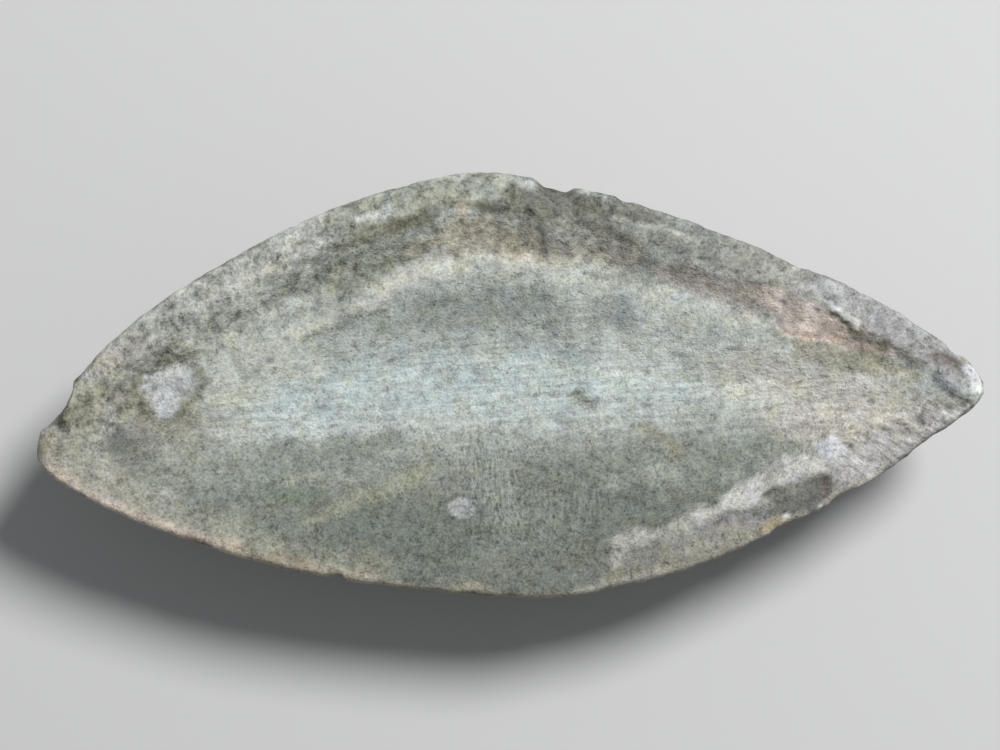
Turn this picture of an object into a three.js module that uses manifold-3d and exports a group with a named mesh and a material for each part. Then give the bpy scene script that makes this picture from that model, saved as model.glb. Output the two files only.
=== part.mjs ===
// A leaf-shaped shallow dish worked from one pebble of grey-green stone.
//
// Millimetres, +Z up. The dish lies on the small flat foot under its boat-shaped hull, hollow side up.
// +X runs along the leaf from the blunt tip to the sharp tip, and +Y is the high, thick-rimmed side.
// The origin is on the ground, below the middle of the dish's outline.
import * as THREE from "three";
import { mergeVertices } from "three/addons/utils/BufferGeometryUtils.js";
import Module from "manifold-3d";

const { lerp, smoothstep } = THREE.MathUtils;

// ---- driving dimensions ----

const LENGTH = 100;
const TIP_X = LENGTH / 2;

// The outline, seen from above, is measured from the straight line between the two tips.
const CROWN = new THREE.Vector2(-1.5, 26.5); // furthest point of the far edge
const BELLY = new THREE.Vector2(3, -18.5); // furthest point of the near edge
const WIDTH = CROWN.y - BELLY.y;

// Heights above the ground.
const FAR_RIM_HEIGHT = 20;
const NEAR_LIP_HEIGHT = 17;
const TIP_HEIGHT = 17.5;
const FLOOR_HEIGHT = 13.6;
const KEEL_HEIGHT = -1.2; // the hull before its foot is ground flat
const KEEL_TIP_RISE = 15;
const KEEL_POWER = 2.4; // how late the keel turns up towards the tips

// The hollow: bands measured inwards from the edges.
const EDGE_ROUNDING = 0.8;
const FAR_RIM_BAND = 3.2;
const FAR_RIM_BEVEL = 0.5; // the far rim leans outwards by this much
const UPPER_WALL = 5.3; // from the far rim down to the bench
const BENCH = 1; // the narrow level step halfway down
const LOWER_WALL = 10; // from the bench down to the floor
const BENCH_DROP = 0.45; // share of the fall above the bench
const NEAR_LIP_BAND = 0.9;
const NEAR_LIP_SLOPE = 13;
const NEAR_RIM_BAND = 4.6; // the near edge's thick stretch, towards the sharp tip
const NEAR_RIM_SLOPE = 3.4;
const NEAR_RIM_START = 2;
const NEAR_RIM_END = 42;
const NEAR_RIM_BLEND = 9;
const HOLLOW_TIP_X = 47; // the hollow has run out here
const HOLLOW_POWER = 3;
const HOLLOW_TIP_DEPTH = 0.3;
const WALL_JOIN = 4; // how sharply the walls run into each other

// Facets: the skin is a grid of rings around the dish and stations along it.
const AROUND = 60;
const ALONG = 56;
const FACE_SHARE = 0.6; // share of each ring on the hollow side
const EDGE_CROWDING = 0.5; // facets crowd towards the edges
const OUTLINE_STEPS = 120;

// Broken places, each the mark of one flake: where it left, how big it was and how it was turned.
const FLAKES = [
  { at: [-48.7, 5.5, 17], size: [1.9, 1.5, 4], turn: [0, 0, 0.5] }, // notch beside the blunt tip
  { at: [6.8, 27.4, 18.5], size: [3.4, 2.1, 5.5], turn: [0.25, 0, -0.2] }, // far edge, by the crown
  { at: [50.2, -2.6, 17], size: [2.6, 1.5, 5], turn: [0, 0.2, 0.6] }, // near side of the sharp tip
  { at: [49.8, 3.4, 18.5], size: [2.4, 1.3, 3], turn: [0.3, 0, -0.7] }, // far side of the sharp tip
  { at: [29.6, -10.1, 18.3], size: [4.6, 2.1, 1.9], turn: [0.25, 0, 0.28] }, // scar on the near rim
];

// ---- outline ----

// Each edge is two Bezier curves that meet, level, at its furthest point.
function edgePoints(bluntEnd, bluntBow, beforePeak, peak, afterPeak, sharpBow, sharpEnd) {
  const edge = new THREE.Path();
  edge.moveTo(-TIP_X, bluntEnd);
  edge.bezierCurveTo(...bluntBow, beforePeak, peak.y, peak.x, peak.y);
  edge.bezierCurveTo(afterPeak, peak.y, ...sharpBow, TIP_X, sharpEnd);
  return edge.getPoints(OUTLINE_STEPS);
}

const FAR_EDGE = edgePoints(1.2, [-48.3, 10.4], -20.7, CROWN, 9.2, [44.7, 9.7], 1);
const NEAR_EDGE = edgePoints(-0.5, [-32.9, -15.6], 2, BELLY, 8.5, [27.2, -17.2], -1.2);

function edgeAt(points, x) {
  const after = points.findIndex((point) => point.x >= x);
  if (after <= 0) return points[after < 0 ? points.length - 1 : 0].y;
  const from = points[after - 1];
  const to = points[after];
  return lerp(from.y, to.y, (x - from.x) / (to.x - from.x));
}

// ---- the hollow side ----

// 1 above the first band, falling smoothly to 0 over the slope that follows it.
function fall(distance, band, slope) {
  return 1 - smoothstep(distance, band, band + slope);
}

function farWall(distance, narrowing) {
  const benchEdge = FAR_RIM_BAND + (UPPER_WALL + BENCH) * narrowing;
  const upper = fall(distance, FAR_RIM_BAND, UPPER_WALL * narrowing);
  const lower = fall(distance, benchEdge, LOWER_WALL * narrowing);
  return BENCH_DROP * upper + (1 - BENCH_DROP) * lower;
}

function nearWall(distance, x, narrowing) {
  const thickens = smoothstep(x, NEAR_RIM_START, NEAR_RIM_START + NEAR_RIM_BLEND);
  const thins = 1 - smoothstep(x, NEAR_RIM_END - NEAR_RIM_BLEND, NEAR_RIM_END);
  const lip = fall(distance, NEAR_LIP_BAND, NEAR_LIP_SLOPE * narrowing);
  const rim = fall(distance, NEAR_RIM_BAND, NEAR_RIM_SLOPE);
  return lerp(lip, rim, thickens * thins);
}

function floorHeight(x) {
  const towardsTip = Math.min(Math.abs(x) / HOLLOW_TIP_X, 1) ** HOLLOW_POWER;
  return lerp(FLOOR_HEIGHT, TIP_HEIGHT - HOLLOW_TIP_DEPTH, towardsTip);
}

// How far the rounded edge lies below the rim at this distance in from it.
function edgeDrop(distance) {
  const outwards = 1 - Math.min(distance / EDGE_ROUNDING, 1);
  return EDGE_ROUNDING * (1 - Math.sqrt(1 - outwards ** 2));
}

function faceHeight(x, y, farY, nearY) {
  const fromFar = farY - y;
  const fromNear = y - nearY;
  const narrowing = Math.sqrt((farY - nearY) / WIDTH);
  const towardsTip = (x / TIP_X) ** 2;
  const floor = floorHeight(x);
  const farRise = lerp(FAR_RIM_HEIGHT, TIP_HEIGHT, towardsTip) - floor;
  const nearRise = lerp(NEAR_LIP_HEIGHT, TIP_HEIGHT, towardsTip) - floor;
  const far = farRise * farWall(fromFar, narrowing);
  const near = nearRise * nearWall(fromNear, x, narrowing);
  const walls = (far ** WALL_JOIN + near ** WALL_JOIN) ** (1 / WALL_JOIN);
  const bevel = FAR_RIM_BEVEL * narrowing * Math.max(1 - fromFar / FAR_RIM_BAND, 0);
  return floor + walls - bevel - edgeDrop(Math.min(fromFar, fromNear));
}

// ---- one ring around the dish ----

function facePoint(x, share, farY, nearY) {
  const crowded = share - (EDGE_CROWDING * Math.sin(2 * Math.PI * share)) / (2 * Math.PI);
  const y = lerp(farY, nearY, crowded);
  return new THREE.Vector3(x, y, faceHeight(x, y, farY, nearY));
}

// The hull hangs from both edges in half an ellipse.
function hullPoint(x, share, farY, nearY) {
  const angle = Math.PI * share;
  const across = (1 - Math.cos(angle)) / 2;
  const nearEdgeZ = faceHeight(x, nearY, farY, nearY);
  const farEdgeZ = faceHeight(x, farY, farY, nearY);
  const edgeZ = lerp(nearEdgeZ, farEdgeZ, across);
  const keelZ = KEEL_HEIGHT + KEEL_TIP_RISE * Math.abs(x / TIP_X) ** KEEL_POWER;
  return new THREE.Vector3(x, lerp(nearY, farY, across), lerp(edgeZ, keelZ, Math.sin(angle)));
}

function tipPoint(x) {
  const y = (edgeAt(FAR_EDGE, x) + edgeAt(NEAR_EDGE, x)) / 2;
  return new THREE.Vector3(x, y, TIP_HEIGHT - EDGE_ROUNDING);
}

function skinPoint(around, along) {
  const x = TIP_X * Math.cos(Math.PI * along);
  if (along === 0 || along === 1) return tipPoint(x);
  const farY = edgeAt(FAR_EDGE, x);
  const nearY = edgeAt(NEAR_EDGE, x);
  if (around < FACE_SHARE) return facePoint(x, around / FACE_SHARE, farY, nearY);
  return hullPoint(x, (around - FACE_SHARE) / (1 - FACE_SHARE), farY, nearY);
}

// The blank is a ball with its poles drawn out to the two tips.
function blankGeometry() {
  const ball = new THREE.SphereGeometry(1, AROUND, ALONG);
  const { position, uv } = ball.attributes;
  for (let i = 0; i < position.count; i += 1) {
    const around = uv.getX(i) % 1;
    const along = 1 - uv.getY(i);
    position.setXYZ(i, ...skinPoint(around, along));
  }
  return ball;
}

// ---- cutting ----

const wasm = await Module();
wasm.setup();

function solidOf(geometry) {
  const bare = geometry.clone();
  bare.deleteAttribute("normal");
  bare.deleteAttribute("uv");
  const merged = mergeVertices(bare);
  const vertProperties = new Float32Array(merged.attributes.position.array);
  const triVerts = new Uint32Array(merged.index.array);
  return new wasm.Manifold(new wasm.Mesh({ numProp: 3, vertProperties, triVerts }));
}

function geometryOf(solid) {
  const { vertProperties, triVerts } = solid.getMesh();
  const geometry = new THREE.BufferGeometry();
  geometry.setAttribute("position", new THREE.BufferAttribute(vertProperties, 3));
  geometry.setIndex(new THREE.BufferAttribute(triVerts, 1));
  geometry.computeVertexNormals();
  return geometry;
}

// Everything below the ground, for grinding the foot flat.
function groundSolid() {
  const ground = new THREE.BoxGeometry(LENGTH, LENGTH, LENGTH);
  ground.translate(0, 0, -LENGTH / 2);
  return solidOf(ground);
}

function flakeSolid({ at, size, turn }) {
  const flake = new THREE.IcosahedronGeometry(1, 1);
  flake.scale(...size);
  flake.applyMatrix4(new THREE.Matrix4().makeRotationFromEuler(new THREE.Euler(...turn)));
  flake.translate(...at);
  return solidOf(flake);
}

function dishGeometry() {
  const cuts = [groundSolid(), ...FLAKES.map(flakeSolid)];
  const dish = cuts.reduce((stone, cut) => stone.subtract(cut), solidOf(blankGeometry()));
  const geometry = geometryOf(dish);
  geometry.computeBoundingBox();
  const middle = geometry.boundingBox.getCenter(new THREE.Vector3());
  return geometry.translate(-middle.x, -middle.y, 0);
}

// ---- the part ----

function stoneMaterial() {
  return new THREE.MeshStandardMaterial({ color: 0x8f968a, roughness: 0.85, metalness: 0 });
}

const dish = new THREE.Mesh(dishGeometry(), stoneMaterial());
dish.name = "stone_dish";

const group = new THREE.Group();
group.add(dish);

export default group;
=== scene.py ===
"""The looks of a leaf-shaped stone dish: one stone, ground by hand, worn, stained and chipped.

Sizes are in millimetres, in the dish's own frame: X runs from tip to tip, Y is measured from the line
between the tips towards the high rim, and Z is the height above the ground. The dish is a ball whose poles
are drawn out to the two tips. Strokes then carve it, noise roughens it and more strokes paint it.
"""

import math

import bmesh
import bpy
import numpy as np
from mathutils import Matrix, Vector, kdtree, noise


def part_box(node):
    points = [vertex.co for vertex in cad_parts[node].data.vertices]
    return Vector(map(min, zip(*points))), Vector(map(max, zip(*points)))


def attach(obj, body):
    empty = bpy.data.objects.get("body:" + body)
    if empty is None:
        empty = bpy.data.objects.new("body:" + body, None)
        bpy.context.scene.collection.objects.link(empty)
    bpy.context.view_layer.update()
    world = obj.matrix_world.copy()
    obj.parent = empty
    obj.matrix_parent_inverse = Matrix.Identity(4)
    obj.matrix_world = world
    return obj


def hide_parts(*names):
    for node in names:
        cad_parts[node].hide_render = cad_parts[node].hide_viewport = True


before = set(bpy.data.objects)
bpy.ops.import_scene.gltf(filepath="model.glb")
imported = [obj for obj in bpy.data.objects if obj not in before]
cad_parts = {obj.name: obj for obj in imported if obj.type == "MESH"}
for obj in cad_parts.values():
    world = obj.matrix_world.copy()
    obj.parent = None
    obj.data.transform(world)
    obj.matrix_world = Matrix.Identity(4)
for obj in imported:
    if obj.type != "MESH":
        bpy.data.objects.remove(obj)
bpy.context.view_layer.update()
LOW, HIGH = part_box("stone_dish")
MM = 0.001

# ---- the dish's sizes ----

TIP_X = (HIGH[0] - LOW[0]) / 2 / MM
CROWN = (-1.5, 26.5)  # furthest point of the far edge
BELLY = (3.0, -18.5)  # furthest point of the near edge
WIDTH = CROWN[1] - BELLY[1]
MIDDLE_Y = (CROWN[1] + BELLY[1]) / 2

# Heights above the ground.
FAR_RIM_HEIGHT = HIGH[2] / MM
NEAR_LIP_HEIGHT = 17.0
TIP_HEIGHT = 17.5
FLOOR_HEIGHT = 13.6
KEEL_HEIGHT = -1.2  # the hull before its foot is ground flat
KEEL_TIP_RISE = 15.0
KEEL_POWER = 2.4  # how late the keel turns up towards the tips

# The hollow: bands measured inwards from the edges.
EDGE_ROUNDING = 0.8
TIP_ROUNDING = 1.4
FAR_RIM_BAND = 3.2
FAR_RIM_BEVEL = 0.5  # the far rim leans outwards by this much
UPPER_WALL = 5.3  # from the far rim down to the bench
BENCH = 1.0  # the narrow level step halfway down
LOWER_WALL = 10.0  # from the bench down to the floor
BENCH_DROP = 0.45  # share of the fall above the bench
NEAR_LIP_BAND = 0.9
NEAR_LIP_SLOPE = 13.0
NEAR_RIM_BAND = 4.6  # the near edge's thick stretch, towards the sharp tip
NEAR_RIM_SLOPE = 3.4
NEAR_RIM_START = 2.0
NEAR_RIM_END = 42.0
NEAR_RIM_BLEND = 9.0
HOLLOW_TIP_X = 47.0  # the hollow has run out here
HOLLOW_POWER = 3
HOLLOW_TIP_DEPTH = 0.3
WALL_JOIN = 4  # how sharply the walls run into each other

NARROWEST = 0.001  # least share of the full width, at the tips

# The mesh: places around each ring, and rings along the dish.
AROUND = 240
ALONG = 400
FACE_SHARE = 0.7  # share of each ring on the hollow side
TIP_CROWDING = 0.35  # rings crowd towards the tips
CHIP_FADE = 8  # how soon the edges' chips fade out down the hull

SEED_STEP = (17.3, -9.1, 5.7)  # how far each seed moves the noise


def mix(a, b, share):
    return a + (b - a) * share


def smoothstep(value, low, high):
    share = np.clip((value - low) / (high - low), 0, 1)
    return share * share * (3 - 2 * share)


def cloud(points, size, seed, octaves=1):
    """Soft random lumps of about this size, from roughly -1 to 1."""
    shift = Vector([seed * step for step in SEED_STEP])
    scaled = (Vector(point) + shift for point in points / size)
    if octaves == 1:
        return 2 * np.array([noise.noise(place) for place in scaled])
    return 1.4 * np.array([noise.fractal(place, 1.0, 2.0, octaves) for place in scaled])


# ---- the outline ----

CURVE_STEPS = 200
EDGE_STEPS = 1200
NIBBLE_DEPTH = 0.10
MOST_BULGE = 0.06  # a worn edge stands out past its curve by no more than this
FAR_EDGE_SEED = 3
NEAR_EDGE_SEED = 6


def bezier(a, b, c, d):
    t = np.linspace(0, 1, CURVE_STEPS)[:, None]
    a, b, c, d = (np.array(point, float) for point in (a, b, c, d))
    return a * (1 - t) ** 3 + 3 * b * (1 - t) ** 2 * t + 3 * c * (1 - t) * t**2 + d * t**3


def edge_curve(blunt_end, blunt_bow, before_peak, peak, after_peak, sharp_bow, sharp_end):
    """Two curves that meet, level, at the edge's furthest point."""
    blunt = bezier((-TIP_X, blunt_end), blunt_bow, (before_peak, peak[1]), peak)
    sharp = bezier(peak, (after_peak, peak[1]), sharp_bow, (TIP_X, sharp_end))
    return np.concatenate([blunt, sharp[1:]]).T


def nibbled(x, seed):
    """How far small losses, some long and some short, have eaten into an edge."""
    line = np.stack([x, np.zeros_like(x), np.zeros_like(x)], axis=1)
    return NIBBLE_DEPTH * (0.6 * cloud(line, 3.1, seed) + 0.4 * cloud(line, 0.9, seed + 1))


def worn_edge(curve, inwards, seed, chips):
    """The curve with its chips, each given by its start, end, depth and the length of its ends."""
    x = np.linspace(-TIP_X, TIP_X, EDGE_STEPS)
    loss = nibbled(x, seed)
    for start, end, depth, run in chips:
        loss = loss + depth * smoothstep(x, start - run, start) * (1 - smoothstep(x, end, end + run))
    return np.stack([x, np.interp(x, *curve) + inwards * np.maximum(loss, -MOST_BULGE)])


FAR_CURVE = edge_curve(1.2, (-48.3, 10.4), -20.7, CROWN, 9.2, (44.7, 9.7), 1.0)
NEAR_CURVE = edge_curve(-0.5, (-32.9, -15.6), 2.0, BELLY, 8.5, (27.2, -17.2), -1.2)

FAR_CHIPS = [
    (5.6, 7.6, 0.75, 1.3),
    (13.5, 14.0, 0.2, 0.8),
    (31.0, 31.8, 0.2, 0.8),
    (46.8, 47.4, 0.35, 0.8),
]
NEAR_CHIPS = [
    (-19.6, -18.9, 0.3, 0.4),
    (27.2, 28.4, 0.3, 0.7),
    (33.6, 35.2, 0.35, 0.9),
    (42.6, 44.4, 0.3, 1.2),
]

# The ledge and the steep step of the notch beside the blunt tip.
NOTCH = np.array([(-50, 3.3), (-47.3, 3.7), (-46.4, 5.4), (-45.5, 7.4), (-44.8, 12)]).T


def notched(edge):
    """The edge, cut back to the notch's line where that line runs."""
    x, y = edge
    cut = np.minimum(y, np.interp(x, *NOTCH))
    return np.stack([x, np.where(x < NOTCH[0, -1], cut, y)])


FAR_EDGE = notched(worn_edge(FAR_CURVE, -1, FAR_EDGE_SEED, FAR_CHIPS))
NEAR_EDGE = worn_edge(NEAR_CURVE, 1, NEAR_EDGE_SEED, NEAR_CHIPS)

# ---- the plain shape ----


def fall(distance, band, slope):
    """1 over the first band, falling smoothly to 0 over the slope that follows it."""
    return 1 - smoothstep(distance, band, band + slope)


def far_wall(distance, narrowing):
    bench_edge = FAR_RIM_BAND + (UPPER_WALL + BENCH) * narrowing
    upper = fall(distance, FAR_RIM_BAND, UPPER_WALL * narrowing)
    lower = fall(distance, bench_edge, LOWER_WALL * narrowing)
    return mix(lower, upper, BENCH_DROP)


def near_wall(distance, x, narrowing):
    thickens = smoothstep(x, NEAR_RIM_START, NEAR_RIM_START + NEAR_RIM_BLEND)
    thins = 1 - smoothstep(x, NEAR_RIM_END - NEAR_RIM_BLEND, NEAR_RIM_END)
    lip = fall(distance, NEAR_LIP_BAND, NEAR_LIP_SLOPE * narrowing)
    rim = fall(distance, NEAR_RIM_BAND, NEAR_RIM_SLOPE)
    return mix(lip, rim, thickens * thins)


def floor_height(x):
    towards_tip = np.minimum(np.abs(x) / HOLLOW_TIP_X, 1) ** HOLLOW_POWER
    return mix(FLOOR_HEIGHT, TIP_HEIGHT - HOLLOW_TIP_DEPTH, towards_tip)


def edge_drop(distance):
    """How far the rounded edge lies below the rim at this distance in from it."""
    outwards = 1 - np.minimum(distance / EDGE_ROUNDING, 1)
    return EDGE_ROUNDING * (1 - np.sqrt(1 - outwards**2))


def face_height(x, y, far_y, near_y):
    from_far = np.maximum(far_y - y, 0)
    from_near = np.maximum(y - near_y, 0)
    narrowing = np.sqrt(np.maximum((far_y - near_y) / WIDTH, NARROWEST))
    towards_tip = (x / TIP_X) ** 2
    floor = floor_height(x)
    far = (mix(FAR_RIM_HEIGHT, TIP_HEIGHT, towards_tip) - floor) * far_wall(from_far, narrowing)
    near = (mix(NEAR_LIP_HEIGHT, TIP_HEIGHT, towards_tip) - floor) * near_wall(from_near, x, narrowing)
    walls = (far**WALL_JOIN + near**WALL_JOIN) ** (1 / WALL_JOIN)
    bevel = FAR_RIM_BEVEL * narrowing * np.maximum(1 - from_far / FAR_RIM_BAND, 0)
    return floor + walls - bevel - edge_drop(np.minimum(from_far, from_near))


def hull_point(x, far_y, near_y, share):
    """The hull hangs from both edges in half an ellipse, and the edges' chips fade out down it."""
    angle = np.pi * share
    across = (1 - np.cos(angle)) / 2
    chipped = np.cos(angle) ** CHIP_FADE
    hull_far = mix(np.interp(x, *FAR_CURVE), far_y, chipped)
    hull_near = mix(np.interp(x, *NEAR_CURVE), near_y, chipped)
    edge_z = mix(face_height(x, near_y, far_y, near_y), face_height(x, far_y, far_y, near_y), across)
    keel_z = KEEL_HEIGHT + KEEL_TIP_RISE * np.abs(x / TIP_X) ** KEEL_POWER
    return mix(hull_near, hull_far, across), mix(edge_z, keel_z, np.sin(angle))


def skin(around, along):
    """A point of the plain dish for each place around and along it, both from 0 to 1."""
    run = 1 - 2 * along
    x = TIP_X * run * (1 + TIP_CROWDING - TIP_CROWDING * run**2)
    far_y = np.interp(x, *FAR_EDGE)
    near_y = np.interp(x, *NEAR_EDGE)
    on_face = around < FACE_SHARE
    face_y = mix(far_y, near_y, np.clip(around / FACE_SHARE, 0, 1))
    hull_share = np.clip((around - FACE_SHARE) / (1 - FACE_SHARE), 0, 1)
    hull_y, hull_z = hull_point(x, far_y, near_y, hull_share)
    y = np.where(on_face, face_y, hull_y)
    z = np.where(on_face, face_height(x, y, far_y, near_y), hull_z)
    into_tip = np.clip((np.abs(x) - (TIP_X - TIP_ROUNDING)) / TIP_ROUNDING, 0, 1)
    shrink = np.sqrt(1 - into_tip**2)
    y = mix((far_y + near_y) / 2, y, shrink)
    z = mix(TIP_HEIGHT - 2 * EDGE_ROUNDING, z, shrink)
    return np.stack([x, y, z], axis=1)


# ---- strokes: the one way that stains, painted light and shade, ridges and scars are laid on the dish ----

# A stroke is a path of points, each with its X, its Y and the stroke's half-width there.


def brush(x, y, path, soft, ragged=0):
    """1 inside a stroke, fading to 0 outside it."""
    reach = np.full(len(x), np.inf)
    ends = path[1:] if len(path) > 1 else path
    for (ax, ay, a_half), (bx, by, b_half) in zip(path, ends):
        dx, dy = bx - ax, by - ay
        squared = max(dx * dx + dy * dy, 1e-9)  # a stroke of one point has no length
        along = np.clip(((x - ax) * dx + (y - ay) * dy) / squared, 0, 1)
        distance = np.hypot(x - ax - along * dx, y - ay - along * dy)
        reach = np.minimum(reach, distance / mix(a_half, b_half, along))
    return 1 - smoothstep(reach + ragged, 1 - soft, 1 + soft)


def along_edge(edge, inwards, start, end, inset, half_width, steps=14):
    """A stroke that follows an edge at this distance in from it."""
    places = np.linspace(start, end, steps)
    return [(x, np.interp(x, *edge) + inwards * inset, half_width) for x in places]


def along_far(start, end, inset, half_width):
    return along_edge(FAR_CURVE, -1, start, end, inset, half_width)


def along_near(start, end, inset, half_width):
    return along_edge(NEAR_CURVE, 1, start, end, inset, half_width)


def ring(x, y, radius_x, radius_y, half_width, steps=9):
    turns = np.linspace(0, 2 * np.pi, steps)
    return [(x + radius_x * np.cos(turn), y + radius_y * np.sin(turn), half_width) for turn in turns]


# ---- carving ----

# The sharp step under the right of the far rim.
STEP_EDGE = [
    (26, 13.4, 0.3),
    (29.2, 12.3, 0.3),
    (33.3, 10.3, 0.35),
    (36.5, 7.4, 0.4),
    (39.6, 5.6, 0.35),
    (43.6, 2.9, 0.3),
]

# The ridge along the bench on the far wall.
BENCH_RIDGE = [
    (-27, 9.2, 1.0),
    (-22, 11.2, 0.9),
    (-16.2, 13.3, 0.8),
    (-11.8, 15.1, 0.8),
    (-7.5, 16.7, 0.8),
    (-0.4, 17.3, 0.7),
    (6.6, 16.4, 0.7),
]

# The pale patch near the blunt tip and the ring round it.
PATCH = [(-38, 7.1, 1.2), (-35.6, 7.0, 2.0), (-33.2, 8.5, 1.1)]
PATCH_TAIL = [(-36, 6, 1.5), (-35.6, 4.6, 1.3)]
RING = [
    (-39.4, 6.8, 0.5),
    (-38.6, 8.4, 0.25),
    (-36.0, 9.3, 0.35),
    (-33.6, 9.2, 0.6),
    (-31.2, 7.5, 0.5),
    (-32.5, 5.5, 0.4),
    (-34.6, 3.2, 0.5),
    (-36.4, 3.3, 0.4),
    (-38.7, 5.0, 0.5),
    (-39.4, 6.8, 0.5),
]

# The sunken fleck on the floor, the near rim's flake scar and frosted spot, and the raised plate.
FLAKE_SPOT = [(-6.3, -8.1, 1.05), (-5.0, -8.1, 1.1)]
SCAR = [(26.3, -9.8, 0.5), (29.0, -10.1, 1.5), (31.6, -9.6, 1.6), (32.6, -8.6, 0.5), (32.7, -10.4, 0.5)]
FROST_SPOT = [(33.4, -5.3, 1.0), (34.0, -5.0, 1.0)]
PLATE = [(31.8, 12.2, 0.4), (34.2, 10.9, 1.0), (36.6, 8.9, 0.9)]

# Raised and sunken marks: height, softness of the sides and stroke.
MARKS = [
    (0.16, 0.9, BENCH_RIDGE),
    (-0.07, 0.8, STEP_EDGE[3:]),
    (0.08, 0.35, along_far(26, 46, 1.8, 1.9)),
    (0.10, 0.5, PLATE),
    (0.10, 0.25, along_far(-42, 20, 1.5, 1.7)),
    (-0.34, 0.45, SCAR),
    (0.10, 0.5, FROST_SPOT),
    (-0.14, 0.2, PATCH),
    (-0.12, 0.3, PATCH_TAIL),
    (-0.14, 0.15, FLAKE_SPOT),
    (-0.25, 0.4, [(45.6, 2.6, 1.2), (47.2, 2.2, 0.8)]),
    (-0.25, 0.4, [(46.2, -1.4, 1.0), (48.0, -1.9, 0.9)]),
    (-0.25, 0.4, [(5.5, 24.6, 1.0), (8.0, 24.0, 1.2)]),
    (-0.20, 0.5, [(-47.2, 3.4, 0.8)]),
    (0.12, 0.6, along_near(9, 36, 4.4, 0.8)),
    (-0.18, 0.5, [(20, -12.0, 0.6), (25.5, -11.4, 0.6)]),
]

PIT_COUNT = 800
PIT_SEED = 5
PIT_RADIUS = 0.28
PIT_RADIUS_SPREAD = 0.22
PIT_STEEPNESS = (0.2, 0.45)  # least and most depth, as a share of the radius
SHADED_PIT_DEPTH = 0.15  # a pit this deep gets the full painted shade

# Lumps and grit everywhere, lumps and lengthwise grooves on the hull: height, size, seed and octaves.
LUMPS = [(0.10, 9, 11, 1), (0.05, 2.6, 12, 1), (0.035, 1.0, 13, 3)]
HULL_LUMPS = [(0.10, 6, 14, 1)]
HULL_GROOVES = [(0.06, 1.6, 15, 1)]
HULL_GROOVE_STRETCH = (0.35, 1, 1)


def marks_height(x, y):
    return sum(height * brush(x, y, path, soft) for height, soft, path in MARKS)


def vertex_areas(mesh):
    corners = np.empty(len(mesh.loops), int)
    mesh.loops.foreach_get("vertex_index", corners)
    areas = np.empty(len(mesh.polygons))
    mesh.polygons.foreach_get("area", areas)
    totals = np.empty(len(mesh.polygons), int)
    mesh.polygons.foreach_get("loop_total", totals)
    return np.bincount(corners, np.repeat(areas / totals, totals), len(mesh.vertices))


def pits_height(points, areas):
    """Small pits, spread evenly over the stone at random."""
    tree = kdtree.KDTree(len(points))
    for index, point in enumerate(points):
        tree.insert(point, index)
    tree.balance()
    dice = np.random.default_rng(PIT_SEED)
    height = np.zeros(len(points))
    for centre in points[dice.choice(len(points), PIT_COUNT, p=areas / areas.sum())]:
        radius = PIT_RADIUS + PIT_RADIUS_SPREAD * dice.random() ** 2
        depth = radius * dice.uniform(*PIT_STEEPNESS)
        for _, index, distance in tree.find_range(centre, radius):
            height[index] = min(height[index], -depth * (1 - (distance / radius) ** 2))
    return height


def lumps_height(points, lumps):
    return sum(height * cloud(points, size, seed, octaves) for height, size, seed, octaves in lumps)


def roughness_height(points, on_face):
    grooves = lumps_height(points * HULL_GROOVE_STRETCH, HULL_GROOVES)
    hull = lumps_height(points, HULL_LUMPS) + grooves
    return lumps_height(points, LUMPS) + np.where(on_face, 0, hull)


# ---- painting ----

# Stone colours, given on a 0 to 255 scale.
MOSS_GREY = (114, 118, 110)
PALE_GREY = (182, 187, 181)
HULL_GREY = (128, 131, 119)
# Pale blue-grey of the rubbed middle band, brightened in part by a painted reflection of the lamp.
WORN_AND_SHEEN_BLUE = (178, 189, 187)
CHALK = (206, 211, 205)
FROST = (212, 214, 219)
DUSTY = (152, 151, 139)
WARM_GREY = (182, 178, 170)
OLIVE = (138, 137, 114)
OLIVE_GREY = (154, 157, 145)
TAN = (188, 182, 164)
PINK = (190, 182, 175)
SHELL = (230, 216, 207)
RUST = (190, 164, 144)
RUST_DARK = (108, 88, 74)
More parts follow.
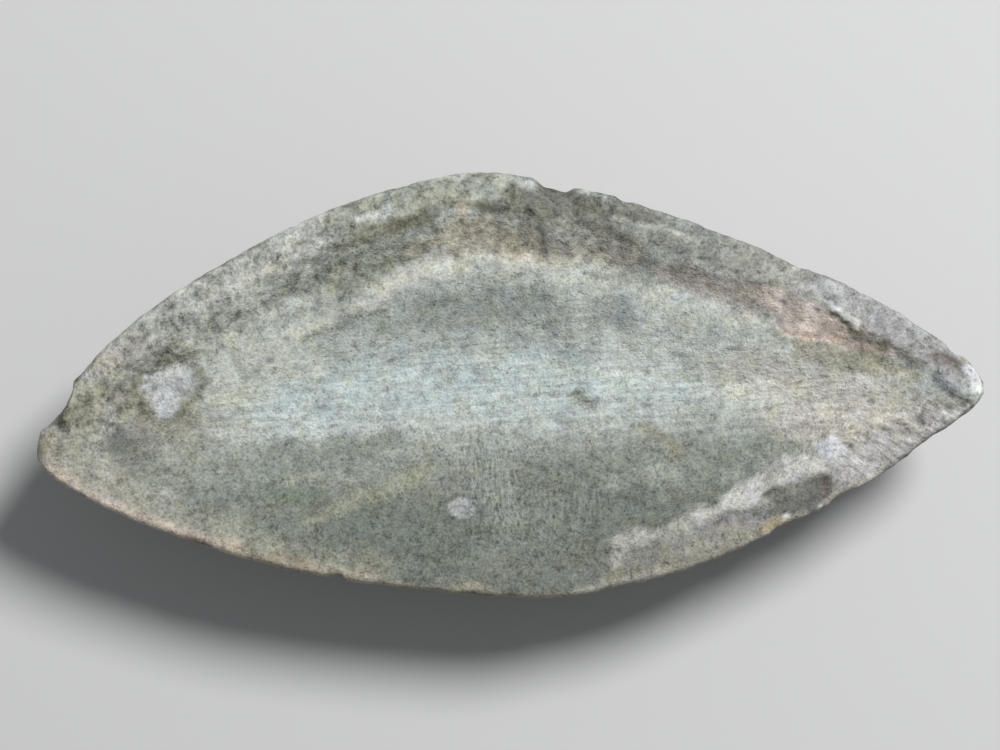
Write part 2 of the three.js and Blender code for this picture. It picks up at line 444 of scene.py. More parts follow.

# Stains, painted light and painted shade are laid in the order given: colour, strength, softness and
# stroke.

# Broad stains on the floor and at both ends, with a painted reflection on the pale middle band and painted
# shade on the near half and below the bench.
FLOOR_STAINS_AND_PAINTED_LIGHT = [
    (DUSTY, 0.95, 0.5, [(-50, 1, 10), (-41, 2, 9)]),
    ((158, 157, 146), 0.8, 0.5, [(-50, 1.2, 3.5), (-45, 0, 2.4)]),
    ((168, 170, 160), 0.7, 0.5, [(-41, 10, 2), (-31, 13, 3.2), (-24, 16.5, 2.8)]),
    # The pale middle band: rubbed stone, partly a painted reflection of the lamp.
    (WORN_AND_SHEEN_BLUE, 0.9, 0.5, [(-24, 3.5, 3.0), (-10, 5.4, 4.2), (5, 4, 4.2), (18, 3.5, 3.0)]),
    ((196, 200, 191), 0.9, 0.5, [(-29, 6.5, 2.6), (-21, 9.4, 2.4)]),
    # The band's brightest stretch, partly a painted reflection.
    (CHALK, 0.85, 0.5, [(13, 7, 2.8), (20, 5.8, 3.0), (26, 3.4, 2.2)]),
    ((201, 201, 192), 0.9, 0.5, [(25, 3.5, 2.8), (32, 1.2, 3.0), (39, -0.2, 2.6)]),
    (WARM_GREY, 0.85, 0.5, [(29, -2.0, 1.8), (35, -3.0, 2.6), (42, -2.4, 2.4)]),
    ((212, 209, 199), 0.7, 0.6, [(28, 2.6, 1.2), (33, 0.8, 1.8), (39, -0.2, 1.2)]),
    # Painted shade on the strip below the bench, where the wall falls away from the light.
    ((163, 169, 163), 0.85, 0.6, [(-13, 12.6, 1.4), (-3, 12.9, 2.4), (4, 13.4, 1.4)]),
    ((150, 158, 160), 0.6, 0.6, [(12.8, 11.6, 1.7)]),
    ((172, 178, 172), 0.6, 0.6, [(-6, 9.6, 1.6), (2, 9.2, 1.4)]),
    # Four strokes that darken the near half: partly the stone's colour, partly painted shade where the
    # light falls off.
    ((130, 135, 127), 0.75, 0.6, [(-38, -2, 1.8), (-30, -2.0, 2.4), (-19, -1.8, 1.8), (-12, -0.6, 0.9)]),
    ((122, 127, 118), 0.5, 0.6, [(-34, -5, 2.2), (-24, -7.5, 3.0)]),
    ((104, 111, 103), 0.7, 0.7, [(-17, -10.5, 3.0), (-6, -11.5, 3.0)]),
    ((116, 122, 115), 0.7, 0.7, [(3, -10, 3.0), (13, -9.5, 2.4)]),
    ((138, 143, 135), 0.7, 0.6, [(11, -5.4, 2.2), (20, -6.2, 2.4), (28, -4.8, 1.2)]),
]

# The far wall, its foot and the far rim, with painted highlights on the bench ridge and the plate and
# painted shadow along the step.
FAR_WALL_STAINS_AND_PAINTED_LIGHT = [
    (OLIVE_GREY, 0.85, 0.6, [(-19.5, 16.4, 1.4), (-15, 17.8, 2.4), (-11, 19.8, 2.2)]),
    ((138, 139, 126), 0.8, 0.5, [(-17, 20.4, 0.8), (-9, 22.6, 1.1), (-5, 23.2, 0.9)]),
    ((136, 135, 126), 0.85, 0.5, [(0, 23.2, 1.2), (4, 22.9, 1.6), (8, 21.8, 1.4)]),
    (
        (112, 112, 96),
        0.65,
        0.9,
        [(-19.6, 19.3, 0.6), (-13.9, 20.7, 0.7), (-9.9, 22.1, 0.9), (-5.5, 23.9, 0.5)],
    ),
    ((112, 112, 100), 0.6, 0.9, [(-4.5, 23.2, 0.6), (-1.7, 22.8, 0.6), (4.2, 23.0, 0.9), (8, 22, 1.2)]),
    ((130, 131, 116), 0.55, 0.8, [(-19, 14.6, 0.7), (-15, 16.2, 1.0), (-11, 17.6, 0.8), (-8, 18.6, 0.5)]),
    (TAN, 0.75, 0.6, [(-9, 19.4, 0.8), (-3, 20.5, 1.5), (4, 19.4, 1.0)]),
    ((160, 150, 134), 0.55, 0.9, [(-6, 18.4, 0.5), (0, 18.6, 0.8), (6, 18.2, 0.6)]),
    ((102, 102, 88), 0.65, 0.9, [(-10.5, 21.8, 0.5), (-7, 22.6, 0.9)]),
    (
        (100, 100, 88),
        0.7,
        0.9,
        [(-6.6, 23.8, 0.4), (-3.4, 23.5, 0.4), (-1.0, 22.7, 0.5), (2, 22.8, 0.7), (5, 22.6, 0.8)],
    ),
    ((188, 184, 170), 0.8, 0.6, [(7, 18.0, 1.2), (14, 16.6, 1.2)]),
    ((190, 184, 168), 0.6, 0.8, [(5.2, 18.7, 0.6)]),
    ((126, 124, 112), 0.5, 0.8, [(7.8, 19.4, 0.5), (9.4, 18.8, 0.5)]),
    ((138, 132, 118), 0.5, 0.8, [(-7.8, 17.8, 0.5), (-5.8, 17.5, 0.4)]),
    ((134, 128, 116), 0.5, 0.8, [(-1.0, 18.4, 0.5), (0.2, 18.0, 0.4)]),
    ((92, 92, 80), 0.6, 0.8, [(-8.0, 21.8, 0.5), (-6.6, 21.6, 0.5)]),
    ((96, 95, 84), 0.6, 0.8, [(-0.9, 22.3, 0.5), (0.3, 22.2, 0.4)]),
    ((126, 125, 116), 0.5, 0.8, [(13.6, 15.4, 0.5), (15.2, 15.6, 0.5)]),
    ((138, 136, 126), 0.8, 0.7, [(5, 21.0, 1.2), (10, 20.0, 1.0), (16, 18.0, 0.8), (20, 17.0, 0.8)]),
    ((144, 144, 136), 0.7, 0.8, [(10.2, 14.6, 0.7), (14.6, 14.2, 0.8)]),
    ((194, 190, 178), 0.7, 0.8, [(10.6, 18.8, 0.9), (12.4, 16.8, 0.9)]),
    ((206, 200, 190), 0.75, 0.8, [(17.6, 15.2, 0.9), (20, 14.6, 1.0), (23, 13.2, 1.0)]),
    (PINK, 0.85, 0.6, [(17, 15.0, 0.9), (24, 12.6, 1.7), (30, 9.8, 2.0), (36, 6.6, 1.5), (40, 5, 0.9)]),
    (SHELL, 0.85, 0.6, [(27.5, 11.4, 0.8), (31.5, 9.2, 1.4), (34.4, 7.4, 1.4), (38, 5.7, 0.8)]),
    ((240, 227, 217), 0.85, 0.7, [(27.5, 12.0, 0.8), (31.0, 10.4, 1.3), (34.0, 8.2, 1.3)]),
    ((226, 212, 203), 0.7, 0.8, [(34.5, 7.9, 1.2), (38.5, 6.0, 0.8), (41.6, 4.4, 0.5)]),
    (RUST, 0.4, 0.8, [(30, 7.9, 0.5), (36, 5.7, 0.7), (40, 4.2, 0.5)]),
    ((160, 157, 144), 0.7, 0.7, [(31, 5.0, 0.8), (36, 3.6, 1.0), (42, 2.2, 0.8)]),
    ((126, 124, 106), 0.55, 0.8, [(34.4, 3.3, 0.4), (38.8, 3.1, 0.5)]),
    ((134, 131, 113), 0.65, 0.7, [(28.5, 7.4, 0.4), (32, 6.0, 0.6), (36, 4.4, 0.6), (41.5, 2.9, 0.5)]),
    ((120, 104, 94), 0.45, 0.7, [(29.5, 8.0, 0.22), (33, 6.9, 0.22)]),
    (RUST, 0.35, 0.8, [(-3.2, 23.6, 0.6), (-2.8, 21.6, 0.6)]),
    ((200, 182, 164), 0.5, 0.8, [(1.0, 17.8, 0.4), (6, 17.0, 0.4)]),
    # Painted highlight along the bench ridge, over its pale stone, in this stroke and the next two.
    ((192, 193, 182), 0.55, 0.6, BENCH_RIDGE[:5]),
    ((198, 199, 188), 0.65, 0.6, BENCH_RIDGE[4:]),
    (
        (204, 204, 194),
        0.55,
        0.7,
        [(-24, 10.4, 0.3), (-19.5, 12.0, 0.4), (-16.2, 13.5, 0.4), (-11.8, 15.3, 0.5), (-7.5, 16.8, 0.5)],
    ),
    ((136, 139, 130), 0.5, 0.7, [(-20.5, 10.7, 0.4), (-16, 12.2, 0.5), (-12, 13.8, 0.4)]),
    ((170, 172, 165), 0.9, 0.35, along_far(-40, -15, 1.5, 1.7)),
    ((142, 145, 134), 0.9, 0.35, along_far(-15, 4, 1.4, 1.6)),
    ((112, 113, 104), 0.9, 0.35, along_far(4, 14, 2.0, 2.2)),
    ((130, 132, 126), 0.9, 0.35, along_far(13, 25, 1.6, 1.9)),
    ((140, 141, 134), 0.9, 0.35, along_far(25, 32, 1.7, 1.8)),
    ((148, 147, 147), 0.9, 0.4, along_far(32, 47, 1.7, 1.8)),
    ((122, 122, 116), 0.6, 0.7, [(20.6, 16.4, 0.5), (23.4, 15.4, 0.8), (27, 14.8, 0.7)]),
    ((92, 93, 84), 0.65, 0.9, [(6.2, 24.2, 0.8), (9.4, 22.4, 0.9), (12.6, 20.9, 0.7), (16, 19.8, 0.5)]),
    (FROST, 0.45, 0.9, [(3.0, 25.2, 0.4), (4.2, 24.6, 0.5)]),
    ((82, 83, 74), 0.6, 0.8, [(6.4, 24.6, 0.5), (10, 23.6, 0.4)]),
    ((184, 185, 172), 0.7, 0.9, [(-24.6, 17.2, 0.6), (-22.4, 16.3, 0.9)]),
    ((176, 176, 162), 0.6, 0.9, [(-15.4, 17.5, 0.6)]),
    ((142, 146, 138), 0.5, 0.8, [(-27.6, 12.6, 0.6), (-22, 13.4, 0.7), (-15, 13.2, 0.7)]),
    ((206, 206, 198), 0.8, 0.8, [(-24.6, 19.0, 0.6), (-22.8, 19.7, 0.7)]),
    ((188, 188, 180), 0.6, 0.8, [(-33, 14.4, 0.6), (-28, 16.9, 0.7), (-22, 19.4, 0.7), (-19, 20.6, 0.5)]),
    ((200, 202, 202), 0.6, 0.9, [(-14.2, 22.6, 0.3), (-11.4, 23.2, 0.6)]),
    ((196, 196, 190), 0.5, 1.0, [(12.8, 20.7, 0.2), (16.5, 19.2, 0.3), (21.4, 17.5, 0.2)]),
    ((178, 180, 180), 0.75, 0.5, PLATE),
    # Painted highlight along the plate's edge.
    ((228, 228, 228), 0.75, 0.8, [(34.7, 9.8, 0.2), (36.0, 8.3, 0.35), (37.0, 7.6, 0.35)]),
    # Painted shadow along the step under the far rim and under the plate's edge, in this stroke and the
    # next two.
    ((118, 116, 104), 0.4, 0.9, STEP_EDGE[:4]),
    ((82, 80, 68), 0.8, 0.8, [(34.8, 8.9, 0.2), (36.8, 6.9, 0.4), (38.3, 5.9, 0.5), (40.4, 4.8, 0.4)]),
    ((112, 112, 98), 0.45, 0.9, STEP_EDGE[4:]),
    ((238, 227, 217), 0.6, 0.8, [(28.6, 11.5, 0.6), (31.6, 9.6, 0.9), (34.0, 8.2, 0.7)]),
    ((130, 126, 112), 0.5, 0.8, [(26.8, 12.6, 0.4), (27.0, 11.0, 0.4)]),
    ((190, 190, 182), 0.6, 0.8, [(28.6, 14.2, 0.6), (31.0, 13.2, 0.6)]),
]

# The blunt end, with its pale patch, the ring round it and painted shade in the notch.
BLUNT_END_STAINS_AND_SHADE = [
    ((186, 189, 187), 0.9, 0.4, PATCH),
    ((194, 197, 199), 0.9, 0.4, PATCH_TAIL),
    ((116, 115, 95), 0.65, 0.8, RING),
    ((104, 108, 104), 0.8, 0.8, [(-41.0, 1.2, 1.7), (-39.2, 0.0, 2.1)]),
    ((172, 174, 164), 0.65, 0.8, [(-44.4, 0.8, 1.3), (-42.6, -2.2, 1.1)]),
    (
        (170, 171, 160),
        0.6,
        0.8,
        [(-42.0, 8.6, 0.9), (-38.4, 9.9, 0.8), (-35.6, 10.9, 0.8), (-33, 11.6, 0.6)],
    ),
    ((92, 94, 78), 0.5, 0.9, [(-34.2, 9.3, 0.4)]),
    (PINK, 0.5, 0.8, [(-41.5, 9.6, 0.9), (-38.5, 11.8, 0.8)]),
    ((110, 110, 95), 0.5, 0.8, [(-31.8, 11.4, 0.6), (-31.0, 9.8, 0.6)]),
    ((118, 118, 104), 0.5, 0.8, [(-39.4, 11.2, 0.6), (-37.6, 12.4, 0.6)]),
    ((120, 120, 106), 0.5, 0.8, [(-43.8, 4.2, 0.6), (-43.6, 6.4, 0.7)]),
    (OLIVE, 0.35, 0.8, [(-46, 4.5, 1.0), (-43, 7.0, 0.8)]),
    (FROST, 0.4, 0.8, [(-43.6, 8.8, 0.4)]),
    # Painted shade in the notch beside the blunt tip, over brownish stone.
    ((98, 92, 76), 0.7, 0.7, [(-47.2, 3.7, 0.6)]),
    ((172, 158, 138), 0.6, 0.7, [(-49.2, 1.2, 1.2)]),
]

# Streaks and spots on the floor.
FLOOR_SPOTS = [
    ((170, 173, 162), 0.6, 0.8, [(-36.6, -0.8, 0.8)]),
    ((104, 110, 100), 0.5, 0.9, [(-38.6, -4.8, 0.6), (-37.0, -5.6, 0.5)]),
    ((176, 180, 172), 0.6, 0.8, [(-24.2, -4.4, 0.5), (-23.4, -4.2, 0.5)]),
    ((152, 154, 134), 0.6, 0.8, [(-22.5, -8.6, 0.4), (-18.2, -7.1, 0.7), (-9, -4.2, 0.9)]),
    ((108, 119, 102), 0.6, 0.8, [(-26, -5.2, 0.8), (-21, -5.6, 1.0)]),
    ((160, 165, 158), 0.5, 0.8, [(-4.6, -6.0, 0.7), (-3.4, -7.8, 0.7)]),
    ((104, 109, 103), 0.5, 0.8, [(2.5, -11.2, 1.2), (6.5, -11.0, 1.4)]),
    ((148, 152, 144), 0.6, 0.8, [(10.6, -6.8, 0.9), (12, -7.4, 0.7)]),
    ((162, 162, 152), 0.6, 0.8, [(-43.6, 1.4, 1.0), (-42, 3.0, 0.9)]),
    ((196, 201, 195), 0.6, 0.8, [(4.5, 10.2, 1.0), (8, 10.4, 0.8), (10.6, 12.2, 0.8)]),
    ((150, 156, 150), 0.45, 0.8, [(-3, 10.8, 0.8), (-0.8, 10.2, 0.8)]),
    ((188, 194, 188), 0.4, 0.8, [(-18, 10, 1.0), (-12, 8.2, 1.2)]),
    ((138, 134, 114), 0.65, 0.7, [(14.6, -1.2, 0.4), (17.3, -4.3, 0.8)]),
    ((152, 155, 155), 0.9, 0.3, FLAKE_SPOT),
    ((84, 90, 84), 0.6, 0.6, ring(-5.6, -8.1, 1.8, 1.25, 0.2)),
    ((78, 84, 78), 0.75, 0.8, [(-6.8, -9.2, 0.6)]),
    ((160, 164, 156), 0.6, 0.6, [(14.6, -6.3, 0.7), (16.6, -6.1, 0.7)]),
    ((150, 156, 150), 0.5, 0.8, [(-2, -3.4, 1.6), (-1, -9.0, 1.7)]),
    ((126, 131, 123), 0.8, 0.8, [(7.2, 2.4, 0.8), (8.2, 1.6, 0.7)]),
    (CHALK, 0.5, 0.7, [(-24, 2.2, 0.4), (-20.5, 1.9, 0.5)]),
    ((140, 147, 128), 0.5, 0.8, [(-31, -8.6, 1.0), (-27, -9.8, 1.2)]),
]

# The near rim, its scar, darkened partly by painted shade, and the lip.
NEAR_RIM_STAINS_AND_SHADE = [
    ((140, 140, 133), 0.9, 0.5, along_near(11, 30, 1.8, 2.2)),
    ((146, 144, 140), 0.9, 0.5, along_near(30, 46, 1.8, 2.2)),
    ((142, 137, 118), 0.5, 0.9, along_near(10, 26, 0.6, 0.8)),
    ((132, 131, 124), 0.6, 0.8, [(11.6, -15.2, 0.6), (15.6, -14.2, 0.7)]),
    ((162, 160, 151), 0.55, 0.8, [(17.8, -14.4, 0.7), (22, -13.4, 0.8)]),
    ((188, 187, 180), 0.6, 0.9, [(9.4, -15.8, 0.3), (10.8, -13.4, 0.6), (12.6, -12.6, 0.8)]),
    ((186, 185, 178), 0.55, 0.9, [(12.6, -12.6, 0.7), (15.4, -12.7, 0.5), (19.4, -11.2, 0.9)]),
    ((192, 191, 186), 0.65, 0.9, [(19.4, -11.2, 0.8), (21.6, -11.0, 0.6), (24.4, -9.3, 1.0)]),
    (
        (200, 199, 195),
        0.85,
        0.7,
        [(22.4, -10.0, 0.8), (26, -8.2, 1.3), (29.4, -7.0, 1.2), (32.3, -6.4, 1.0), (34.6, -6.4, 0.7)],
    ),
    ((132, 130, 134), 0.6, 0.8, [(19.4, -12.4, 0.4), (25.6, -11.7, 0.5)]),
    ((170, 155, 126), 0.6, 0.7, [(25.6, -12.9, 0.6), (28, -12.4, 0.6)]),
    ((186, 183, 181), 0.75, 0.7, [(34.8, -7.4, 1.1), (37.4, -6.8, 1.2)]),
    ((168, 166, 165), 0.7, 0.6, [(38, -6.0, 1.4), (44, -3.6, 1.2)]),
    # The flake scar's dark grey, partly painted shade of a facet turned away from the light.
    ((108, 108, 102), 0.9, 0.5, SCAR),
    ((134, 133, 122), 0.5, 0.8, [(27, -9.8, 0.5), (29, -9.2, 0.6)]),
    ((146, 142, 140), 0.5, 0.8, [(30.6, -8.6, 0.3), (31.2, -10.6, 0.3)]),
    ((104, 84, 78), 0.65, 0.7, [(32.6, -8.4, 0.45), (32.9, -10.4, 0.5)]),
    ((84, 86, 82), 0.8, 0.7, [(26.8, -11.2, 0.5), (28.8, -11.5, 0.6), (31.0, -11.0, 0.8)]),
    (FROST, 0.7, 0.7, [(28.0, -12.2, 0.3)]),
    (FROST, 0.7, 0.7, [(31.9, -11.2, 0.25)]),
    (FROST, 0.95, 0.4, FROST_SPOT),
    ((236, 236, 236), 0.8, 0.6, [(37.4, -8.2, 0.35)]),
    ((160, 159, 148), 0.6, 0.8, along_near(-48, -30, 2.2, 1.8)),
    ((150, 149, 136), 0.55, 0.8, along_near(-30, -14, 1.8, 1.2)),
    ((190, 180, 168), 0.9, 0.6, along_near(-50, -30, 0.5, 1.05)),
    ((182, 172, 154), 0.8, 0.8, along_near(-30, -14, 0.4, 0.85)),
    ((118, 112, 94), 0.5, 0.9, [(-46.4, -3.6, 0.3), (-44.9, -4.2, 0.3)]),
    ((122, 114, 96), 0.5, 0.9, [(-29.2, -10.9, 0.35), (-27.6, -11.4, 0.3)]),
    ((118, 112, 94), 0.5, 0.9, [(-24.4, -12.4, 0.3), (-22.6, -12.9, 0.3)]),
    ((160, 154, 138), 0.75, 0.6, along_near(-14, 6, 0.3, 0.5)),
    ((164, 161, 150), 0.75, 0.6, along_near(6, 26, 0.3, 0.5)),
    ((190, 186, 178), 0.6, 0.7, along_near(33, 38, 0.4, 0.5)),
    (RUST_DARK, 0.6, 0.8, [(-34.2, -9.2, 0.5), (-32.2, -10.0, 0.4)]),
    (RUST_DARK, 0.6, 0.8, [(-19.8, -13.9, 0.35), (-18.8, -14.3, 0.35)]),
]

# The sharp tip.
SHARP_TIP_STAINS = [
    ((116, 120, 120), 0.85, 0.6, [(44.4, 1.6, 0.6), (46.7, 0.0, 0.6)]),
    ((112, 112, 110), 0.7, 0.7, [(47.7, -1.4, 0.3), (48.4, -2.1, 0.3)]),
    ((114, 113, 108), 0.5, 0.8, [(44.2, 4.2, 0.5), (44.9, 2.4, 0.4)]),
    ((196, 196, 192), 0.7, 0.6, [(45.6, -2.6, 0.5), (48.4, -2.0, 0.4)]),
    ((112, 104, 99), 0.75, 0.6, [(44.8, 3.8, 0.6), (47.4, 2.6, 0.6)]),
    ((176, 178, 180), 0.5, 0.7, [(45.4, 1.2, 0.5), (48.4, 0.6, 0.5)]),
    (FROST, 0.95, 0.5, [(48.2, 1.9, 0.35), (48.9, 1.5, 0.6), (49.4, 0.2, 0.6)]),
]

STAINS_AND_PAINTED_LIGHT = FLOOR_STAINS_AND_PAINTED_LIGHT + FAR_WALL_STAINS_AND_PAINTED_LIGHT + BLUNT_END_STAINS_AND_SHADE
STAINS_AND_PAINTED_LIGHT += FLOOR_SPOTS + NEAR_RIM_STAINS_AND_SHADE + SHARP_TIP_STAINS

# The floor turns from moss grey to pale grey between these two ragged lines. The darker near half is
# partly the stone's colour and partly painted shade where the light falls off.
MOSS_LINE = -8
PALE_LINE = 3
LINE_RAGGEDNESS = 2

# Where the floor is rubbed smooth lengthwise, scratched across and filed: softness and stroke.
WEAR = {
    "rubbed": (0.6, [(-28, 3, 4), (-8, 5, 6), (12, 4, 6), (34, 0, 5)]),
    "scratched": (0.8, [(-3, -4, 3.4), (-1, -10, 3.4), (8, -9, 2.0)]),
    "filed": (0.4, [(37, -5.6, 2.4), (42, -4.0, 2.4), (46, -2.6, 1.6)]),
}

# How coarse the grain is. Along the far wall it falls from 1 to the right side's share.
COARSE_WALL = along_far(-44, 47, 3.2, 4.2)
COARSE_FALL = (8, 18)
RIGHT_COARSENESS = 0.35
HULL_COARSENESS = 0.4

# How far strokes wander from their paths, on a wide and on a fine scale.
PAINT_WANDER = 0.45
MARKS_WANDER = 0.3
WANDER_SEED = 21
WANDER_SIZE = 3.6
FINE_WANDER_SIZE = 0.9
FINE_WANDER = 0.4
ACROSS_WANDER = 0.8  # strokes wander less across the dish than along it

# The painted strokes take turns with three ragged borders, each with its own size and seed.
RAGGEDNESS = 0.28
RAGGED_BORDERS = ((1.6, 41), (1.3, 42), (1.9, 43))


def tint(colour):
    """A colour from the 0 to 255 scale as linear light."""
    value = np.array(colour) / 255
    return np.where(value <= 0.04045, value / 12.92, ((value + 0.055) / 1.055) ** 2.4)


def wandered(points, reach):
    """The points' X and Y pushed about a little, so that strokes get natural borders."""

    def push(seed):
        return cloud(points, WANDER_SIZE, seed) + FINE_WANDER * cloud(points, FINE_WANDER_SIZE, seed + 1)

    x = points[:, 0] + reach * push(WANDER_SEED)
    y = points[:, 1] + ACROSS_WANDER * reach * push(WANDER_SEED + 2)
    return x, y


def painted(points, on_face):
    x, y = wandered(points, PAINT_WANDER)
    ragged = [RAGGEDNESS * cloud(points, size, seed, 3) for size, seed in RAGGED_BORDERS]
    # Moss grey on the near half stands partly for painted shade.
    pale_share = smoothstep(y + LINE_RAGGEDNESS * ragged[0], MOSS_LINE, PALE_LINE)
    floor = mix(tint(MOSS_GREY), tint(PALE_GREY), pale_share[:, None])
    colour = np.where(on_face[:, None], floor, tint(HULL_GREY))
    for index, (stroke_colour, strength, soft, path) in enumerate(STAINS_AND_PAINTED_LIGHT):
        share = strength * brush(x, y, path, soft, ragged[index % len(ragged)]) * on_face
        colour = mix(colour, tint(stroke_colour), share[:, None])
    return colour


def coarseness(x, y, on_face):
    wall = mix(1, RIGHT_COARSENESS, smoothstep(x, *COARSE_FALL)) * brush(x, y, COARSE_WALL, 0.35)
    return np.where(on_face, wall, HULL_COARSENESS)


# ---- the mesh ----


def set_floats(mesh, name, values):
    attribute = mesh.attributes.new(name, "FLOAT", "POINT")
    attribute.data.foreach_set("value", values.astype(np.float32))


def set_colours(mesh, name, values):
    attribute = mesh.attributes.new(name, "FLOAT_COLOR", "POINT")
    opaque = np.concatenate([values, np.ones((len(values), 1))], axis=1)
    attribute.data.foreach_set("color", opaque.astype(np.float32).ravel())


def place_vertices(mesh, points):
    """Puts the vertices in place, and grinds the foot flat on the ground."""
    seated = points.copy()
    seated[:, 2] = np.maximum(seated[:, 2], 0)
    mesh.vertices.foreach_set("co", ((seated - (0, MIDDLE_Y, 0)) * MM).ravel())
    mesh.update()


def vertex_normals(mesh):
    normals = np.empty(len(mesh.vertices) * 3)
    mesh.vertices.foreach_get("normal", normals)
    return normals.reshape(-1, 3)


def ball_mesh():
    """A ball whose poles become the two tips, and each vertex's place around and along it."""
    bm = bmesh.new()
    bmesh.ops.create_uvsphere(bm, u_segments=AROUND, v_segments=ALONG, radius=1)
    mesh = bpy.data.meshes.new("stone_dish_looks")
    bm.to_mesh(mesh)
    bm.free()
    ball = np.empty(len(mesh.vertices) * 3)
    mesh.vertices.foreach_get("co", ball)
    ball = ball.reshape(-1, 3)
    along = np.arccos(np.clip(ball[:, 2], -1, 1)) / np.pi
    nudge = 1e-6  # keeps the first row from wrapping round to 1
    around = (np.arctan2(ball[:, 1], ball[:, 0]) / (2 * np.pi) + nudge) % 1
    return mesh, around, along


def build_dish():
    mesh, around, along = ball_mesh()
    on_face = around < FACE_SHARE + 0.5 / AROUND  # the near lip's own row belongs to the face
    plain = skin(around, along)
    place_vertices(mesh, plain)
    pits = pits_height(plain, vertex_areas(mesh))
    marks = marks_height(*wandered(plain, MARKS_WANDER)) * on_face
    height = marks + pits + roughness_height(plain, on_face)
    place_vertices(mesh, plain + vertex_normals(mesh) * height[:, None])
    x, y = plain[:, 0], plain[:, 1]
    set_colours(mesh, "paint", painted(plain, on_face))
    # Painted shade for the pits, darker the deeper they are.
    set_floats(mesh, "pit_shade", np.clip(-pits / SHADED_PIT_DEPTH, 0, 1))
    for name, (soft, path) in WEAR.items():
        set_floats(mesh, name, brush(x, y, path, soft) * on_face)
    set_floats(mesh, "coarse", coarseness(x, y, on_face))
    mesh.polygons.foreach_set("use_smooth", np.ones(len(mesh.polygons), bool))
    dish = bpy.data.objects.new("stone_dish_looks", mesh)
    bpy.context.collection.objects.link(dish)
    return dish


# ---- node sums written as Python sums ----


class Wire:
    """A socket's output that adds, subtracts and multiplies like a number."""

    def __init__(self, tree, socket):
        self.tree = tree
        self.socket = socket

    def maths(self, operation, first, second):
        made = node(self.tree, "ShaderNodeMath", {"operation": operation}, {0: first, 1: second})
        return made("Value")

    def __add__(self, other):
        return self.maths("ADD", self, other)

    def __radd__(self, other):
        return self.maths("ADD", other, self)

    def __sub__(self, other):
        return self.maths("SUBTRACT", self, other)

    def __rsub__(self, other):
        return self.maths("SUBTRACT", other, self)

    def __mul__(self, other):
        return self.maths("MULTIPLY", self, other)

    def __rmul__(self, other):
        return self.maths("MULTIPLY", other, self)

    def stepped(self, low, high):
        """0 below low, 1 above high and smooth between."""
        settings = {"interpolation_type": "SMOOTHSTEP"}
        inputs = {"Value": self, "From Min": low, "From Max": high}
        return node(self.tree, "ShaderNodeMapRange", settings, inputs)("Result")


def node(tree, kind, settings=None, inputs=None):
    """Makes a node and returns a function from an output's name or number to its wire."""
    made = tree.nodes.new(kind)
    for name, value in (settings or {}).items():
        setattr(made, name, value)
    for slot, value in (inputs or {}).items():
        if isinstance(value, Wire):
            tree.links.new(value.socket, made.inputs[slot])
        else:
            made.inputs[slot].default_value = value
    return lambda output: Wire(tree, made.outputs[output])


# ---- the stone ----

FILE_ANGLE = math.radians(38)
FILE_STRETCH = (0.22, 1, 1)
RUB_STRETCH = (0.07, 1.0, 1.0)
SCRATCH_STRETCH = (1.0, 0.16, 1.0)
WARM = (1.015, 1.0, 0.93, 1)  # patches of the stone are multiplied by one or both of these
COOL = (0.96, 0.99, 1.04, 1)
SHEEN = 0.35
MATT = 0.86
BUMP_STRENGTH = 0.7
BUMP_DEPTH = 0.14


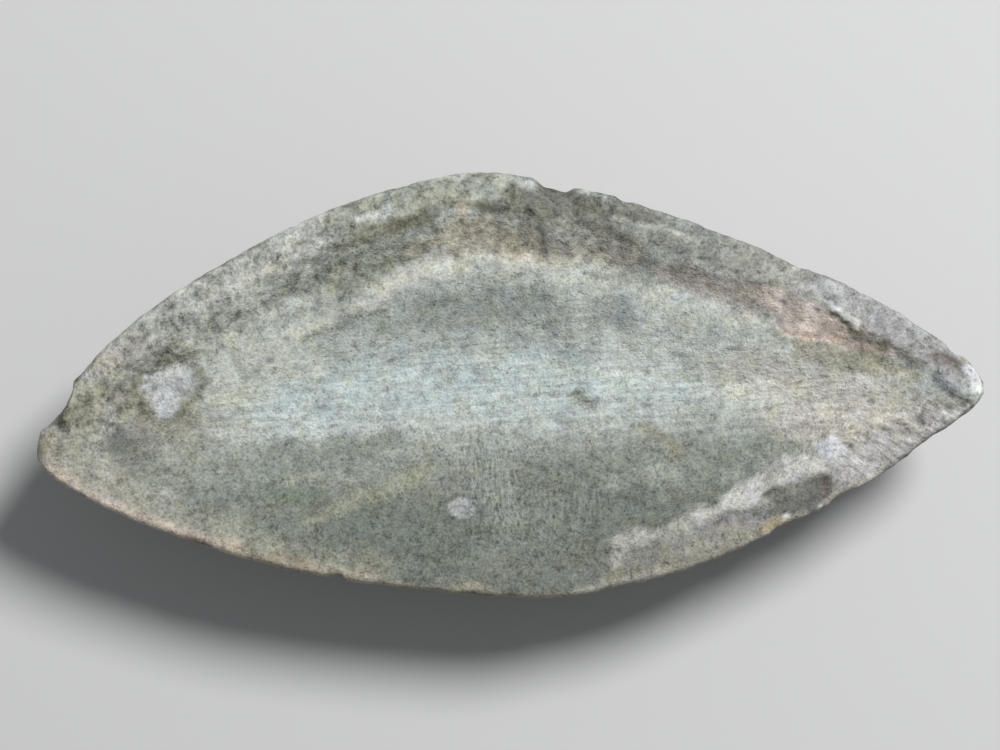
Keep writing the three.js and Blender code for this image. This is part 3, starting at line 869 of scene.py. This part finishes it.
def stone_material():
    material = bpy.data.materials.new("stone")
    material.use_nodes = True
    tree = material.node_tree
    shader = tree.nodes["Principled BSDF"]
    place = node(tree, "ShaderNodeTexCoord")("Object")

    def stretched(scale, vector=place):
        inputs = {0: vector, 1: scale}
        return node(tree, "ShaderNodeVectorMath", {"operation": "MULTIPLY"}, inputs)("Vector")

    def turned(angle):
        settings = {"rotation_type": "Z_AXIS"}
        return node(tree, "ShaderNodeVectorRotate", settings, {"Vector": place, "Angle": angle})("Vector")

    def grain(size, detail=2.0, vector=place):
        """Noise from 0 to 1, with lumps of this size in millimetres."""
        inputs = {"Vector": vector, "Scale": 1 / (size * MM), "Detail": detail, "Roughness": 0.6}
        return node(tree, "ShaderNodeTexNoise", None, inputs)("Fac")

    def attribute(name, output="Fac"):
        return node(tree, "ShaderNodeAttribute", {"attribute_name": name})(output)

    def multiplied(share, first, second):
        settings = {"data_type": "RGBA", "blend_type": "MULTIPLY"}
        return node(tree, "ShaderNodeMix", settings, {0: share, 6: first, 7: second})(2)

    paint = attribute("paint", "Color")
    brightness = node(tree, "ShaderNodeSeparateColor", None, {"Color": paint})("Green")
    rubbed = attribute("rubbed")
    scratched = attribute("scratched")
    filed = attribute("filed")
    coarse = attribute("coarse")
    pit_shade = attribute("pit_shade")

    # Lumps of colour, then the marks of wear.
    mottle = grain(4.5) - 0.5
    blotch = grain(1.7) - 0.5
    fleck = grain(0.8, 3.0) - 0.5
    salt = grain(0.27) - 0.5
    speck = grain(0.6, 3.0).stepped(0.56, 0.70)
    crystal = grain(0.42, 2.0, stretched((1.0, 1.0, 1.3))).stepped(0.60, 0.74)
    cluster = 0.4 + 1.2 * grain(2.4)
    streak = (grain(0.5, 3.0, stretched(RUB_STRETCH)) - 0.5) * rubbed
    scratch = (grain(0.3, 2.0, stretched(SCRATCH_STRETCH)) - 0.5) * scratched
    groove = (grain(0.6, 3.0, stretched(FILE_STRETCH, turned(FILE_ANGLE))) - 0.5) * filed

    # Each share is how far a lump or mark moves the brightness, and dark stone shows its grain more.
    contrast = cluster * (1.50 - 1.25 * brightness)
    uneven = 0.45 * mottle + 0.70 * blotch + 0.55 * fleck
    value = 1 + (1 + 1.5 * coarse) * uneven + contrast * (0.60 * fleck + 1.35 * salt)
    value = value + 0.9 * streak + 1.8 * scratch + 2.3 * groove * cluster
    # Pits are darkened by painted shade that deepens with their depth.
    value = value * (1 - 0.30 * pit_shade) * (1 - 0.26 * contrast * speck) + 0.20 * crystal * cluster
    grey = node(tree, "ShaderNodeCombineColor", None, {"Red": value, "Green": value, "Blue": value})
    warm_share = grain(2.3, 3.0, stretched((1.0, 1.0, 0.9))).stepped(0.46, 0.66)
    cool_share = grain(1.5, 3.0, stretched((0.9, 1.1, 1.0))).stepped(0.48, 0.68)
    colour = multiplied(1.0, paint, grey("Color"))
    colour = multiplied(warm_share, colour, WARM)
    colour = multiplied(cool_share, colour, COOL)
    tree.links.new(colour.socket, shader.inputs["Base Color"])

    # Rubbed stone is a little smoother.
    rough = MATT - 0.16 * rubbed + 0.25 * fleck
    tree.links.new(rough.socket, shader.inputs["Roughness"])
    shader.inputs["Specular IOR Level"].default_value = SHEEN

    relief = 0.6 * fleck + 0.8 * salt - 0.4 * speck + 0.5 * streak + 0.5 * scratch + 1.2 * groove
    inputs = {"Height": relief, "Strength": BUMP_STRENGTH, "Distance": BUMP_DEPTH * MM}
    bump = node(tree, "ShaderNodeBump", None, inputs)("Normal")
    tree.links.new(bump.socket, shader.inputs["Normal"])
    return material


dish = build_dish()
dish.data.materials.append(stone_material())
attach(dish, "root")
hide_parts("stone_dish")

# ---- the floor, the light and the camera, in metres ----

FLOOR_SIZE = 3
FLOOR_COLOUR = (0.62, 0.62, 0.62, 1)
FLOOR_ROUGHNESS = 0.9
SKY_COLOUR = (0.95, 0.97, 1, 1)
SKY_STRENGTH = 0.2
KEY_POWER = 7
KEY_SIZE = 0.25
KEY_PLACE = Vector((0.35, 0.35, 0.64))
KEY_TARGET = Vector((0, 0, 0.015))

CAMERA_HEIGHT = 0.35
CAMERA_PLACE = (-0.6 * MM, 1.3 * MM)
CAMERA_ROLL = math.radians(4.47)
FRAME_WIDTH = 105.0 * MM
SENSOR = 36.0  # millimetres, as the lens is


def pale_floor():
    bpy.ops.mesh.primitive_plane_add(size=FLOOR_SIZE)
    floor = bpy.context.object
    floor.name = "floor"
    material = bpy.data.materials.new("floor")
    material.use_nodes = True
    shader = material.node_tree.nodes["Principled BSDF"]
    shader.inputs["Base Color"].default_value = FLOOR_COLOUR
    shader.inputs["Roughness"].default_value = FLOOR_ROUGHNESS
    floor.data.materials.append(material)


def soft_sky():
    world = bpy.data.worlds.new("sky")
    world.use_nodes = True
    background = world.node_tree.nodes["Background"]
    background.inputs["Color"].default_value = SKY_COLOUR
    background.inputs["Strength"].default_value = SKY_STRENGTH
    bpy.context.scene.world = world


def key_lamp():
    lamp = bpy.data.lights.new("key", "AREA")
    lamp.energy = KEY_POWER
    lamp.size = KEY_SIZE
    lamp.shape = "DISK"
    lamp_object = bpy.data.objects.new("key", lamp)
    lamp_object.location = KEY_PLACE
    lamp_object.rotation_euler = (KEY_TARGET - KEY_PLACE).to_track_quat("-Z", "Y").to_euler()
    bpy.context.collection.objects.link(lamp_object)


def overhead_camera():
    camera = bpy.data.cameras.new("camera")
    camera.sensor_width = SENSOR
    camera.lens = SENSOR * (CAMERA_HEIGHT - TIP_HEIGHT * MM) / FRAME_WIDTH
    camera_object = bpy.data.objects.new("camera", camera)
    camera_object.location = (*CAMERA_PLACE, CAMERA_HEIGHT)
    camera_object.rotation_euler = (0, 0, -CAMERA_ROLL)
    bpy.context.collection.objects.link(camera_object)
    bpy.context.scene.camera = camera_object
    bpy.context.scene.view_settings.view_transform = "Standard"


pale_floor()
soft_sky()
key_lamp()
overhead_camera()
